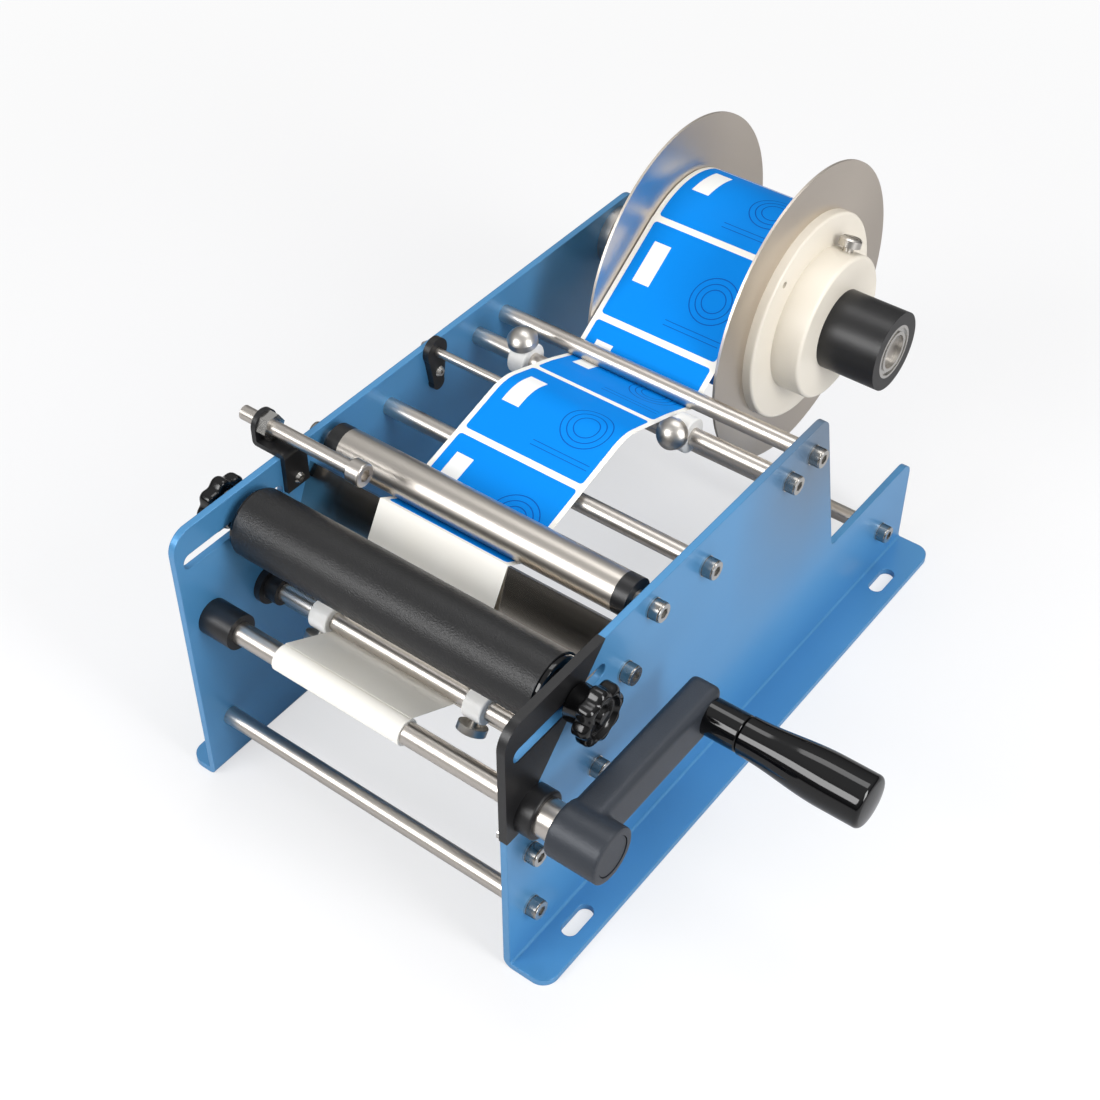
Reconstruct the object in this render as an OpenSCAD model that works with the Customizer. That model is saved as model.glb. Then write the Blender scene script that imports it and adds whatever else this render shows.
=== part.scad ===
// Hand-cranked bench labelling machine: two painted side plates, cross rods, a label reel at the rear,
// a peel plate, a feed roller and a press roller that cradle the bottle, and a hand crank that winds up
// the empty liner. Millimetres, X along the crank shaft, Y to the rear, Z up.
// The modules measure X from the middle of the gap between the plates; placed() puts the origin on the
// bench at the middle of the right foot.

/* [Side plates] */
// Clear distance between the two side plates
side_gap = 200; // [194:1:230]
// Thickness of the side plates and of their feet
plate_t = 4; // [3:0.5:5]
// Length of the side plates, front to rear
plate_len = 390; // [386:1:420]
// Height of the side plates
plate_h = 176; // [174:1:184]
// Length of the tall front part of the right plate along its top edge
tall_top_len = 272.5; // [270:0.5:276]
// Length of the tall front part where its sloping rear edge meets the low part
tall_low_len = 297.5; // [290:0.5:304]
// Height of the low rear part of the right plate
step_h = 65; // [50:1:80]
// Radius of the plates' upper corners
corner_r = 12; // [6:1:14]
// Radius of the right plate's peak and of its low rear corner
peak_r = 9; // [5:1:10]
// Radius in the inner corner of the right plate's step
step_fillet_r = 5; // [3:1:8]
// Inner radius of the bend between plate and foot
bend_r = 1.5; // [1:0.5:3]

/* [Feet] */
// Width of the right foot, outward from the plate
right_foot_w = 23; // [21:1:23]
// Width of the left foot, outward from the plate
left_foot_w = 16; // [15:1:24]
// Radius of the feet's outer corners
foot_corner_r = 9; // [4:1:10]
// Length of the right foot's slots
foot_slot_len = 22; // [14:1:30]
// Width of the right foot's slots
foot_slot_w = 9; // [6:0.5:10]
// Distance between the centres of the two foot slots
foot_slot_span = 308; // [280:1:330]
// Diameter of the left foot's holes
foot_hole_d = 4.5; // [3.5:0.5:6]
// Distance between the left foot's two holes
foot_hole_span = 366; // [340:1:372]

/* [Cross rods] */
// Diameter of the cross rods
rod_d = 10; // [9:0.5:11]
// Front tie rod and crank shaft, distance from the front edge
front_line = 17; // [16:1:18]
// Height of the front tie rod
front_rod_z = 35; // [28:1:45]
// Table rod under the web, distance from the front edge
table_rod_y = 159; // [154:1:164]
// Table rod's axis below the plate's top edge
table_rod_drop = 19; // [18.5:0.5:22]
// Collar rod, distance from the front edge
collar_rod_y = 235; // [230:1:238]
// Collar rod's axis below the plate's top edge
collar_rod_drop = 17.5; // [17:0.5:19]
// Entry rod, distance from the front edge
entry_rod_y = 259; // [257:1:260]
// Entry rod's axis below the plate's top edge
entry_rod_drop = 16; // [15.5:0.5:18]
// Rear tie rod, distance from the rear edge
rear_rod_y = 31; // [26:1:40]
// Height of the rear tie rod
rear_rod_z = 31; // [24:1:36]
// Diameter of the thin guide rod, held at its left end only
thin_rod_d = 5; // [4:0.5:6]
// Thin guide rod, distance from the front edge
thin_rod_y = 196; // [190:1:200]
// Thin guide rod's axis below the plate's top edge
thin_rod_drop = 3.5; // [3:0.25:4]
// Liner rod, distance from the front edge
liner_rod_y = 57; // [55:0.5:58]
// Liner rod's axis below the plate's top edge
liner_rod_drop = 72; // [70:0.5:74]

/* [Rollers] */
// Diameter of the rubber press roller
press_d = 38; // [34:0.5:39]
// Height of the press roller's slots below the plate's top edge
slot_drop = 20; // [19:0.5:21]
// Press roller at rest, distance from the front edge
press_y = 50; // [48:0.5:51]
// Width of the slots
slot_w = 9; // [8.5:0.25:10]
// Diameter of the press roller's axle
press_axle_d = 8; // [6:0.5:8]
// Diameter of the feed roller
feed_d = 22; // [20:0.5:23]
// Feed roller, distance from the front edge
feed_y = 113; // [112:0.5:114]
// Feed roller's axis below the plate's top edge
feed_drop = 11; // [10:0.5:12]

/* [Crank] */
// Diameter of the crank shaft
shaft_d = 12; // [10:0.5:13]
// Crank shaft's axis below the plate's top edge
shaft_drop = 64.5; // [63:0.5:65]
// Distance from the crank shaft to the grip's axis
crank_radius = 97; // [80:1:98]
// Thickness of the crank arm
arm_t = 17; // [12:0.5:18]
// Height of the crank arm at rest
arm_h = 26; // [22:1:28]
// Diameter of the crank's hub
hub_d = 30; // [28:0.5:34]
// Length of the crank's hub
hub_len = 28.5; // [24:0.5:34]
// Largest diameter of the grip
grip_d = 26.4; // [22:0.2:26.4]
// Length of the turning grip
grip_len = 70; // [60:1:90]

/* [Label reel] */
// Reel's axis, distance from the rear edge of the plates
reel_in = 23; // [20:1:26]
// Reel's axis below the plate's top edge
reel_drop = 21; // [19:1:22]
// Diameter of the two reel discs
disc_d = 181; // [160:1:184]
// Thickness of the reel discs
disc_t = 1.5; // [1:0.25:2.5]
// Outer diameter of the roll of labels
roll_d = 116; // [100:1:140]
// Width of the label web
web_w = 82; // [60:1:84]
// Middle of the web to the left of the machine's middle
web_offset = 11; // [6:1:13]
// Thickness of the web
web_t = 0.4; // [0.3:0.05:0.6]
// Outer diameter of the reel's mandrel
mandrel_d = 47; // [44:0.5:50]

/* [Peel plate] */
// Thickness of the peel plate
peel_t = 8; // [6:0.5:9]
// Lean of the peel plate from upright
peel_lean = 24.9; // [23:0.1:26]
// Length of the peel plate down its slope
peel_len = 83; // [82:1:88]
// Peel edge, distance from the front edge
peel_y = 96.8; // [96:0.2:97.4]
// Peel edge below the plate's top edge
peel_drop = 15; // [14.5:0.25:15.5]

/* [Knobs and stop] */
// Diameter of the star knobs
knob_d = 32; // [28:0.5:34]
// Diameter of the bottle stop's rod
stop_d = 8; // [6:0.5:8]
// Length of the bottle stop's rod
stop_len = 82; // [75:1:95]

/* [Hidden] */
$fn = 64;

// Clearances: running fit on the radius, fastener in its hole, gap between faces that slide
run_fit = 0.05;
hole_fit = 0.05;
slide_gap = 0.2;
// Overshoot of every cutter beyond the face it cuts
over = 1;

// Plate faces and edges
in_x = side_gap / 2;
out_x = in_x + plate_t;
front_y = -plate_len / 2;
rear_y = plate_len / 2;
bend_c = bend_r + plate_t;

// Axes of the rods and rollers as [y, z]
front_rod = [front_y + front_line, front_rod_z];
shaft_z = plate_h - shaft_drop;
shaft_at = [front_y + front_line, shaft_z];
table_rod_at = [front_y + table_rod_y, plate_h - table_rod_drop];
collar_rod_at = [front_y + collar_rod_y, plate_h - collar_rod_drop];
entry_rod_at = [front_y + entry_rod_y, plate_h - entry_rod_drop];
rear_rod = [rear_y - rear_rod_y, rear_rod_z];
thin_rod_at = [front_y + thin_rod_y, plate_h - thin_rod_drop];
liner_rod_at = [front_y + liner_rod_y, plate_h - liner_rod_drop];
press_at = [front_y + press_y, plate_h - slot_drop];
feed_at = [front_y + feed_y, plate_h - feed_drop];
reel_at = [rear_y - reel_in, plate_h - reel_drop];
peel_edge = [front_y + peel_y, plate_h - peel_drop];

// Peel plate: directions down its slope and through its thickness, screws on its middle plane
peel_screw_top = 21.5;
peel_screw_low = 75;
peel_down = [-sin(peel_lean), -cos(peel_lean)];
peel_back = [cos(peel_lean), -sin(peel_lean)];
peel_screws = [for (d = [peel_screw_top, peel_screw_low]) peel_edge + peel_down * d + peel_back * peel_t / 2];

// Cap screws and washers of the M6 size
screw_d = 6;
screw_head_d = 10;
screw_head_h = 6;
screw_socket = 5;
screw_reach = 14;
washer_d = 11.6;
washer_t = 1;
lone_screw_drop = 33.5;
lone_screw = shaft_at - [0, lone_screw_drop];
rod_screws = concat([front_rod, table_rod_at, collar_rod_at, entry_rod_at, rear_rod, feed_at], peel_screws);

// Small button screws of the M3 size
small_d = 3;
small_head_d = 6.4;
small_head_h = 2.4;

// Press roller slots
slot_in = 5;
slot_len = 70.5;
slot_front = front_y + slot_in;
slot_rear = slot_front + slot_len;

// Corner guard: black cap over the front upper corner of the right plate
guard_t = 0.8;
guard_h = 75;
guard_low = plate_h - guard_h;
guard_top_len = 74;
guard_foot_w = 10;
guard_neck_w = 21;
guard_neck_h = 20;
guard_x = out_x + guard_t;

// Crank shaft bearings
bearing_d = 26;
bearing_len = 9;
bearing_bore = 20;
spigot_d = 23;
left_bearing_d = 20;
left_bearing_len = 20;
left_spigot_d = 16;

// Crank: inner face of the arm, arm end beyond the grip axis, grip stack
arm_out = 19.5;
arm_x = out_x + arm_out;
arm_end = 9.5;
arm_end_r = 6;
hub_x1 = arm_x + hub_len;
cap_d = 21;
cap_t = 3;
grip_pin_d = 8;
grip_collar_d = 20;
grip_collar_len = 19.5;
grip_gap = 0.5;
grip_x = arm_x + arm_t + grip_collar_len + grip_gap;
grip_dome = 6;
grip_end_wall = 8;
grip_bore_end = grip_x + grip_len - grip_end_wall;
grip_at = [shaft_at[0] + crank_radius, shaft_z];

// Web and wound liner; the paper is stiff, so it bends over the thin rod in a wide curve
web_x0 = -web_offset - web_w / 2;
web_x1 = -web_offset + web_w / 2;
wound_d = 14.5;
fixed_gap = 0.05;
spin_gap = 0.35;
paper_r = 30;

// Reel: discs hug the roll, hubs carry the core, bushes carry the mandrel on the spindle
disc_gap = 0.5;
outer_disc_x = web_x1 + disc_gap;
core_in = 76;
core_out = 82;
hub_spigot_len = 12;
hub_spigot_d = core_in - 0.4;
hub_flange_d = 125;
hub_flange_t = 6;
hub_boss_d = 86;
hub_boss_len = 18;
hub_len_all = disc_t + hub_flange_t + hub_boss_len;
mandrel_x0 = -in_x + 12;
mandrel_x1 = in_x - 8;
mandrel_bore = 28;
spindle_d = 20;
bush_d = 32;
bush_w = 7;
spindle_flange_d = 36;
spindle_flange_t = 6;
spindle_bolt_d = 8;
spindle_bolt_head_d = 13;
spindle_bolt_socket = 6;
spindle_bolt_socket_h = 5;
bush_groove_r = 12;
bush_groove_w = 2.4;
spindle_reach = 20;
hub_screw_x = outer_disc_x + disc_t + hub_flange_t + hub_boss_len / 2;
hub_screw_turn = 67;
hub_screw_d = 6;
hub_screw_head_d = 13;
hub_screw_head_h = 5;
hub_screw_neck = 3;
hub_screw_slot = 1.6;
hub_hole_d = 4;
hub_hole_r = 55;
hub_hole_turn = 130;
hub_hole_at = reel_at + hub_hole_r * [cos(hub_hole_turn), sin(hub_hole_turn)];

// Press roller stack along its axle
press_half = in_x - 7;
press_wall = 5;
press_cap_t = 6;
press_core_wall = 3;
press_washer_d = 20;
press_washer_t = 3;
knob_neck = 9;
knob_neck_d = 20;
knob_t = 9;
knob_hole = 12;
axle_end = knob_hole - 2;
knob_lobes = 8;
knob_dish = 3;
knob_notch_d = knob_d / 4;
knob_notch_at = knob_d / 2 + 1.5;

// Feed roller stack along its axle
feed_half = in_x - 5;
feed_wall = 2;
feed_cap_t = 8;
feed_spigot = 8;

// Flanged bushes of the liner rod
liner_bush_len = 12;
liner_bush_wall = 3;
liner_bush_flange_t = 4;

// Guide bracket of the thin rod, tapering downwards
bracket_t = 4;
bracket_w = 16;
bracket_low_w = 9;
bracket_drop = 21;
bracket_waist = 0.4;
bracket_screw_drop = 16.5;
bracket_screw = [thin_rod_at[0], plate_h - bracket_screw_drop];
thin_screw_reach = 9;
thin_rod_x1 = web_x1 - 6;

// Bottle stop: bent strip from the left plate's inner face over its top edge to an upright tab
stop_y = 84.5;
stop_rise = 10;
stop_at = [front_y + stop_y, plate_h + stop_rise];
strip_t = 3;
strip_w = 16;
strip_leg = 22;
tab_out = 15;
tab_x = -out_x - tab_out;
stop_tail = 12;
stop_x0 = tab_x - stop_tail;
stop_head_d = 13;
stop_head_h = 8;
stop_nut_af = 13;
stop_nut_h = 6;
stop_socket = 6;
stop_socket_h = 4;
stop_screw_drop = 16;
stop_screw = [stop_at[0], plate_h - stop_screw_drop];

// Guide collars on the collar rod and on the liner rod
collar_d = 20;
collar_w = 11;
liner_collar_d = 17;
liner_collar_w = 12;
thumb_d = 4;
thumb_neck = 2;
tip_gap = 0.4;
collar_thumb = [17, 4, 5];
liner_thumb = [16, 4, 2];
collar_turn_left = 100;
collar_turn_right = 150;
liner_turn = 235;
collar_out_left = 14;
collar_out_right = 10;
liner_out_left = 6.5;
liner_out_right = 13;
collar_x_left = web_x0 - collar_out_left;
collar_x_right = web_x1 + collar_out_right;
liner_collar_x_left = web_x0 - liner_out_left;
liner_collar_x_right = web_x1 + liner_out_right;

// Colours
blue = [0.16, 0.42, 0.72];
steel = [0.76, 0.76, 0.77];
black = [0.08, 0.08, 0.09];
charcoal = [0.22, 0.23, 0.25];
cream = [0.93, 0.9, 0.82];
white = [0.93, 0.93, 0.92];
label = [0.1, 0.55, 0.85];
card = [0.62, 0.5, 0.36];

// Flat shape in Y and Z, drawn out along X
module along_x(x0, len) {
    translate([x0, 0, 0]) rotate([90, 0, 90]) linear_extrude(len) children();
}

// Round bar along X from x0 to x1
module bar(x0, x1, at, d) {
    translate([x0, at[0], at[1]]) rotate([0, 90, 0]) cylinder(h = x1 - x0, d = d);
}

// Tube along X from x0 to x1
module tube(x0, x1, at, d, bore) {
    difference() {
        bar(x0, x1, at, d);
        bar(x0 - over, x1 + over, at, bore);
    }
}

// Turned shape along X: the profile's first value is the radius, its second is X
module turned(at) {
    translate([0, at[0], at[1]]) rotate([0, 90, 0]) rotate([0, 0, 90]) rotate_extrude() children();
}

// Both sides: the right one as drawn, the left one mirrored
module both_sides() {
    children();
    mirror([1, 0, 0]) children();
}

// Waste of a rounded corner whose tip is at the origin, plate to the left and below
module corner_waste(r) {
    difference() {
        translate([-r, -r]) square(r + over);
        translate([-r, -r]) circle(r);
    }
}

// Slot shape between two points of one height
module slot_shape(y0, y1, z, w) {
    translate([y0 + w / 2, z]) circle(d = w);
    translate([y1 - w / 2, z]) circle(d = w);
    translate([y0 + w / 2, z - w / 2]) square([y1 - y0 - w, w]);
}

// Sheet profile in X and Z: upright wall, bend and foot
module sheet_profile(foot_w) {
    translate([in_x, bend_c]) square([plate_t, plate_h - bend_c]);
    intersection() {
        translate([in_x + bend_c, bend_c]) difference() {
            circle(bend_c);
            circle(bend_r);
        }
        translate([in_x, 0]) square(bend_c);
    }
    translate([in_x + bend_c, 0]) square([foot_w - bend_r, plate_t]);
}

// Hole through a side plate
module plate_hole(at, d) {
    bar(in_x - over, out_x + over, at, d + 2 * hole_fit);
}

// Holes that both plates share
module shared_holes() {
    for (at = rod_screws) plate_hole(at, screw_d);
    along_x(in_x - over, plate_t + 2 * over) slot_shape(slot_front, slot_rear, press_at[1], slot_w);
}

// Bent plate with its foot, corners rounded, shared holes cut
module bent_plate(foot_w) {
    difference() {
        translate([0, rear_y, 0]) rotate([90, 0, 0]) linear_extrude(plate_len) sheet_profile(foot_w);
        along_x(in_x - over, plate_t + 2 * over) {
            translate([rear_y, plate_h]) corner_waste(corner_r);
            translate([front_y, plate_h]) rotate(90) corner_waste(corner_r);
        }
        translate([out_x + foot_w, rear_y, -over]) linear_extrude(plate_t + 2 * over)
            corner_waste(foot_corner_r);
        translate([out_x + foot_w, front_y, -over]) linear_extrude(plate_t + 2 * over)
            rotate(-90) corner_waste(foot_corner_r);
        shared_holes();
    }
}

// Space between a corner's tip and the circle that touches its two edges, whose unit directions are a and b
module corner_space(tip, a, b, r) {
    half = acos(a * b) / 2;
    reach = r / tan(half);
    inward = (a + b) / norm(a + b);
    centre = tip + inward * r / sin(half);
    difference() {
        polygon([tip - inward * over, tip + a * reach, centre, tip + b * reach]);
        translate(centre) circle(r);
    }
}

// Step cut out of the right plate's rear along a sloping edge, with a rounded peak and corners
module step_waste() {
    peak = [front_y + tall_top_len, plate_h];
    foot = [front_y + tall_low_len, step_h];
    slope = (peak - foot) / norm(peak - foot);
    above = peak + slope * over;
    difference() {
        polygon([above, foot, [rear_y + over, step_h], [rear_y + over, plate_h + 2 * over],
            [above[0], plate_h + 2 * over]]);
        corner_space(foot, slope, [1, 0], step_fillet_r);
    }
    corner_space(peak, [-1, 0], -slope, peak_r);
    translate([rear_y, step_h]) corner_waste(peak_r);
}

module right_plate() color(blue) difference() {
    bent_plate(right_foot_w);
    along_x(in_x - over, plate_t + 2 * over) step_waste();
    plate_hole(shaft_at, spigot_d);
    plate_hole(lone_screw, screw_d);
    for (s = [-1, 1]) translate([out_x + right_foot_w / 2, s * foot_slot_span / 2, -over])
        linear_extrude(plate_t + 2 * over) rotate(90)
            slot_shape(-foot_slot_len / 2, foot_slot_len / 2, 0, foot_slot_w);
}

module left_plate() color(blue) mirror([1, 0, 0]) difference() {
    bent_plate(left_foot_w);
    plate_hole(shaft_at, left_spigot_d);
    plate_hole(reel_at, spindle_bolt_d);
    plate_hole(thin_rod_at, small_d);
    plate_hole(bracket_screw, small_d);
    plate_hole(stop_screw, small_d);
    for (s = [-1, 1]) translate([out_x + left_foot_w / 2, s * foot_hole_span / 2, -over])
        cylinder(h = plate_t + 2 * over, d = foot_hole_d);
}

// Outline of the corner guard, grown by a margin at the front and top edges
module guard_outline(margin) {
    difference() {
        polygon([[front_y - margin, guard_low], [front_y + guard_foot_w, guard_low],
            [front_y + guard_neck_w, guard_low + guard_neck_h], [front_y + guard_top_len, plate_h + margin],
            [front_y - margin, plate_h + margin]]);
        translate([front_y - margin, plate_h + margin]) rotate(90) corner_waste(corner_r + margin);
    }
}

// Room for the plate inside the guard: the plate's own corner, open below and behind
module guard_room() {
    difference() {
        translate([front_y, guard_low - over]) square([guard_top_len + over, plate_h - guard_low + over]);
        translate([front_y, plate_h]) rotate(90) corner_waste(corner_r);
    }
}

module corner_guard() color(black) difference() {
    along_x(in_x, plate_t + guard_t) guard_outline(guard_t);
    along_x(in_x - over, plate_t + over) guard_room();
    bar(out_x - over, guard_x + over, shaft_at, spigot_d + 2 * hole_fit);
    along_x(out_x - over, guard_t + 2 * over) slot_shape(slot_front, slot_rear, press_at[1], slot_w);
}

// Cross rod from plate to plate with tapped ends
module cross_rod(at) color(steel) difference() {
    bar(-in_x, in_x, at, rod_d);
    both_sides() bar(in_x - screw_reach - over, in_x + over, at, screw_d + 2 * hole_fit);
}

module front_tie_rod() cross_rod(front_rod);
module table_rod() cross_rod(table_rod_at);
module collar_rod() cross_rod(collar_rod_at);
module entry_rod() cross_rod(entry_rod_at);
module rear_tie_rod() cross_rod(rear_rod);
module feed_axle() cross_rod(feed_at);

// Liner rod, held in a flanged bush on each inner face
module liner_rod() color(steel) bar(-in_x, in_x, liner_rod_at, rod_d);

module liner_rod_bushes() color(black) both_sides() turned(liner_rod_at) {
    bore = rod_d / 2 + hole_fit;
    translate([bore, in_x - liner_bush_len]) square([liner_bush_wall, liner_bush_len]);
    translate([bore, in_x - liner_bush_flange_t]) square([2 * liner_bush_wall, liner_bush_flange_t]);
}

// Thin guide rod under the web, held in a bracket on the left plate's inner face
module thin_guide_rod() color(steel) difference() {
    bar(-in_x, thin_rod_x1, thin_rod_at, thin_rod_d);
    bar(-in_x - over, -in_x + thin_screw_reach + over, thin_rod_at, small_d + 2 * hole_fit);
}

module guide_bracket() color(black) difference() {
    low = thin_rod_at - [0, bracket_drop];
    half = [bracket_w / 2 - bracket_waist, 0];
    low_half = [bracket_low_w / 2 - bracket_waist, 0];
    union() {
        bar(-in_x, -in_x + bracket_t, thin_rod_at, bracket_w);
        bar(-in_x, -in_x + bracket_t, low, bracket_low_w);
        along_x(-in_x, bracket_t)
            polygon([thin_rod_at + half, low + low_half, low - low_half, thin_rod_at - half]);
    }
    bar(-in_x - over, -in_x + bracket_t + over, thin_rod_at, thin_rod_d + 2 * hole_fit);
    bar(-in_x - over, -in_x + bracket_t + over, bracket_screw, small_d + 2 * hole_fit);
}

// Button screw with its head's seat at x and its shank towards -X, or towards +X when turned
module small_screw(x, at, len, dir) {
    translate([x, at[0], at[1]]) rotate([0, 90 * dir, 0]) difference() {
        rotate_extrude() polygon([[0, -len], [small_d / 2, -len], [small_d / 2, 0], [small_head_d / 2, 0],
            [small_head_d / 2, small_head_h / 3], [small_head_d / 3, small_head_h], [0, small_head_h]]);
        translate([0, 0, small_head_h / 2]) cylinder(h = small_head_h, d = small_d * 0.7, $fn = 6);
    }
}

module small_screws() color(steel) {
    small_screw(-in_x + bracket_t, bracket_screw, bracket_t + plate_t, 1);
    small_screw(-in_x + strip_t, stop_screw, strip_t + plate_t, 1);
    small_screw(-out_x, thin_rod_at, plate_t + thin_screw_reach, -1);
}

// Peel plate: thick leaning bar with a knife edge at its upper front
module peel_plate() color(steel) difference() {
    bevel = peel_t / (cos(peel_lean) + sin(peel_lean));
    low = peel_edge + peel_down * peel_len;
    along_x(-in_x, side_gap) polygon([peel_edge, low, low + peel_back * peel_t, peel_edge + [bevel, -bevel]]);
    for (at = peel_screws) both_sides()
        bar(in_x - screw_reach - over, in_x + over, at, screw_d + 2 * hole_fit);
}

// Socket cap screw seated on a washer outside the right plate
module cap_screw(at) {
    seat = out_x + washer_t;
    difference() {
        union() {
            bar(in_x - screw_reach, seat, at, screw_d);
            bar(seat, seat + screw_head_h, at, screw_head_d);
        }
        translate([seat + screw_head_h / 2, at[0], at[1]]) rotate([0, 90, 0])
            cylinder(h = screw_head_h, d = screw_socket / cos(30), $fn = 6);
    }
}

module cap_screws() color(steel) {
    both_sides() for (at = rod_screws) cap_screw(at);
    cap_screw(lone_screw);
}

module washers() color(steel) {
    both_sides() for (at = rod_screws) tube(out_x, out_x + washer_t, at, washer_d, screw_d + 2 * hole_fit);
    tube(out_x, out_x + washer_t, lone_screw, washer_d, screw_d + 2 * hole_fit);
}

// Flanged bearing of the crank boss, through the right plate and the guard
module right_bearing() color(black) turned(shaft_at) {
    bore = bearing_bore / 2 + run_fit;
    translate([bore, in_x]) square([spigot_d / 2 - bore, guard_x - in_x]);
    difference() {
        translate([bore, guard_x]) square([bearing_d / 2 - bore, bearing_len]);
        translate([bearing_d / 2, guard_x + bearing_len]) corner_waste(1.2);
    }
}

// Long bearing of the shaft's far end, on the left plate's inner face
module left_bearing() color(black) turned(shaft_at) {
    bore = shaft_d / 2 + run_fit;
    translate([bore, -out_x]) square([left_spigot_d / 2 - bore, plate_t]);
    translate([bore, -in_x]) square([left_bearing_d / 2 - bore, left_bearing_len]);
}

// Crank shaft with its boss, hub, arm and cap
module crank_shaft() color(steel) bar(-out_x, hub_x1 - cap_t - slide_gap, shaft_at, shaft_d);

module shaft_boss() color(steel) tube(in_x, arm_x, shaft_at, bearing_bore, shaft_d + 2 * hole_fit);

module arm_outline() {
    end = grip_at[0] + arm_end;
    difference() {
        translate([shaft_at[0], shaft_z - arm_h / 2]) square([end - shaft_at[0], arm_h]);
        translate([end, shaft_z + arm_h / 2]) corner_waste(arm_end_r);
        translate([end, shaft_z - arm_h / 2]) rotate(-90) corner_waste(arm_end_r);
    }
}

module crank_arm() color(charcoal) difference() {
    union() {
        along_x(arm_x, arm_t) arm_outline();
        turned(shaft_at) difference() {
            translate([0, arm_x]) square([hub_d / 2, hub_len]);
            translate([hub_d / 2, hub_x1]) corner_waste(2);
        }
    }
    bar(arm_x - over, hub_x1 + over, shaft_at, shaft_d + 2 * hole_fit);
    bar(hub_x1 - cap_t, hub_x1 + over, shaft_at, cap_d + 2 * hole_fit);
    bar(arm_x - over, arm_x + arm_t + over, grip_at, grip_pin_d + 2 * hole_fit);
}

module hub_cap() color(charcoal) bar(hub_x1 - cap_t, hub_x1 - 2 * slide_gap, shaft_at, cap_d);

// Handle: pin through the arm, fixed collar, turning grip
module grip_pin() color(steel) bar(arm_x, grip_bore_end, grip_at, grip_pin_d);

module grip_collar() color(black) difference() {
    turned(grip_at) difference() {
        translate([0, arm_x + arm_t]) square([grip_collar_d / 2, grip_collar_len]);
        translate([grip_collar_d / 2, arm_x + arm_t + grip_collar_len]) corner_waste(1);
    }
    bar(arm_x, grip_x, grip_at, grip_pin_d + 2 * hole_fit);
}

// Radius of the grip along its length, swelling towards the outer end
grip_swell = 0.7;
function grip_r(u) =
    let (root = grip_collar_d / 2 + 2 * slide_gap, rise = (1 - cos(180 * min(1, u / grip_swell))) / 2)
    root + (grip_d / 2 - root) * rise;

module grip() color(black) difference() {
    turned(grip_at) union() {
        steps = 12;
        body = grip_len - grip_dome;
        neck = grip_d / 2 - grip_dome;
        polygon(concat([[0, grip_x]], [for (i = [0:steps]) [grip_r(i / steps), grip_x + body * i / steps]],
            [[0, grip_x + body]]));
        translate([0, grip_x + body]) square([neck, grip_dome]);
        translate([neck, grip_x + body]) intersection() {
            circle(grip_dome);
            square(grip_dome);
        }
    }
    bar(grip_x - over, grip_bore_end + run_fit, grip_at, grip_pin_d + 2 * run_fit);
}

// Empty liner wound on the crank shaft
module wound_liner() color(cream) tube(web_x0, web_x1, shaft_at, wound_d, shaft_d + 2 * hole_fit);

// Feed roller: brushed tube on two plugs that turn on the fixed axle
module feed_tube() color(steel)
    tube(-feed_half + feed_cap_t, feed_half - feed_cap_t, feed_at, feed_d, feed_d - 2 * feed_wall);

module feed_caps() color(black) both_sides() turned(feed_at) {
    bore = rod_d / 2 + run_fit;
    translate([bore, feed_half - feed_cap_t]) square([feed_d / 2 - bore, feed_cap_t]);
    translate([bore, feed_half - feed_cap_t - feed_spigot])
        square([feed_d / 2 - feed_wall - hole_fit - bore, feed_spigot]);
}

// Press roller: axle clamped in the slots, rubber on a steel core, glossy end caps
module press_axle() color(steel)
    bar(-out_x - slide_gap - axle_end, guard_x + slide_gap + axle_end, press_at, press_axle_d);

module press_washers() color(black) both_sides()
    tube(in_x - slide_gap - press_washer_t, in_x - slide_gap, press_at, press_washer_d,
        press_axle_d + 2 * hole_fit);

module press_rubber() color(black) tube(-press_half, press_half, press_at, press_d, press_d - 2 * press_wall);

module press_core() color(steel)
    tube(-press_half, press_half, press_at, press_d - 2 * press_wall - 2 * hole_fit,
    press_d - 2 * press_wall - 2 * press_core_wall);

module press_caps() color(black) both_sides() turned(press_at) {
    bore = press_axle_d / 2 + run_fit;
    plug = press_d / 2 - press_wall - press_core_wall - hole_fit;
    translate([bore, press_half - press_cap_t]) square([plug - bore, press_cap_t]);
    difference() {
        translate([bore, press_half]) square([press_d / 2 - 1 - bore, press_cap_t / 2]);
        translate([press_d / 2 - 1, press_half + press_cap_t / 2]) corner_waste(1.5);
    }
}

// Star knob outside the right plate, its neck starting at x
module star_knob(x) difference() {
    body = x + knob_neck;
    face = body + knob_t;
    turned(press_at) difference() {
        union() {
            translate([0, x]) square([knob_neck_d / 2, knob_neck]);
            translate([0, body]) square([knob_d / 2, knob_t]);
        }
        translate([knob_d / 2, face]) corner_waste(3);
        translate([knob_d / 2, body]) rotate(-90) corner_waste(2);
        translate([knob_d / 8, face - knob_dish]) square([knob_d / 5, knob_dish + over]);
    }
    for (i = [1:knob_lobes]) let (turn = 360 * (i - 0.5) / knob_lobes)
        bar(body - over, face + over, press_at + knob_notch_at * [cos(turn), sin(turn)], knob_notch_d);
    bar(x - over, x + knob_hole, press_at, press_axle_d + 2 * run_fit);
}

module right_knob() color(black) star_knob(guard_x + slide_gap);
module left_knob() color(black) mirror([1, 0, 0]) star_knob(out_x + slide_gap);

// Reel spindle with its flange on the left plate and the bolt that holds it
module reel_spindle() color(steel) difference() {
    union() {
        bar(-in_x, -in_x + spindle_flange_t, reel_at, spindle_flange_d);
        bar(-in_x, mandrel_x1 - 3, reel_at, spindle_d);
    }
    bar(-in_x - over, -in_x + spindle_reach + over, reel_at, spindle_bolt_d + 2 * hole_fit);
}

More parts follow.
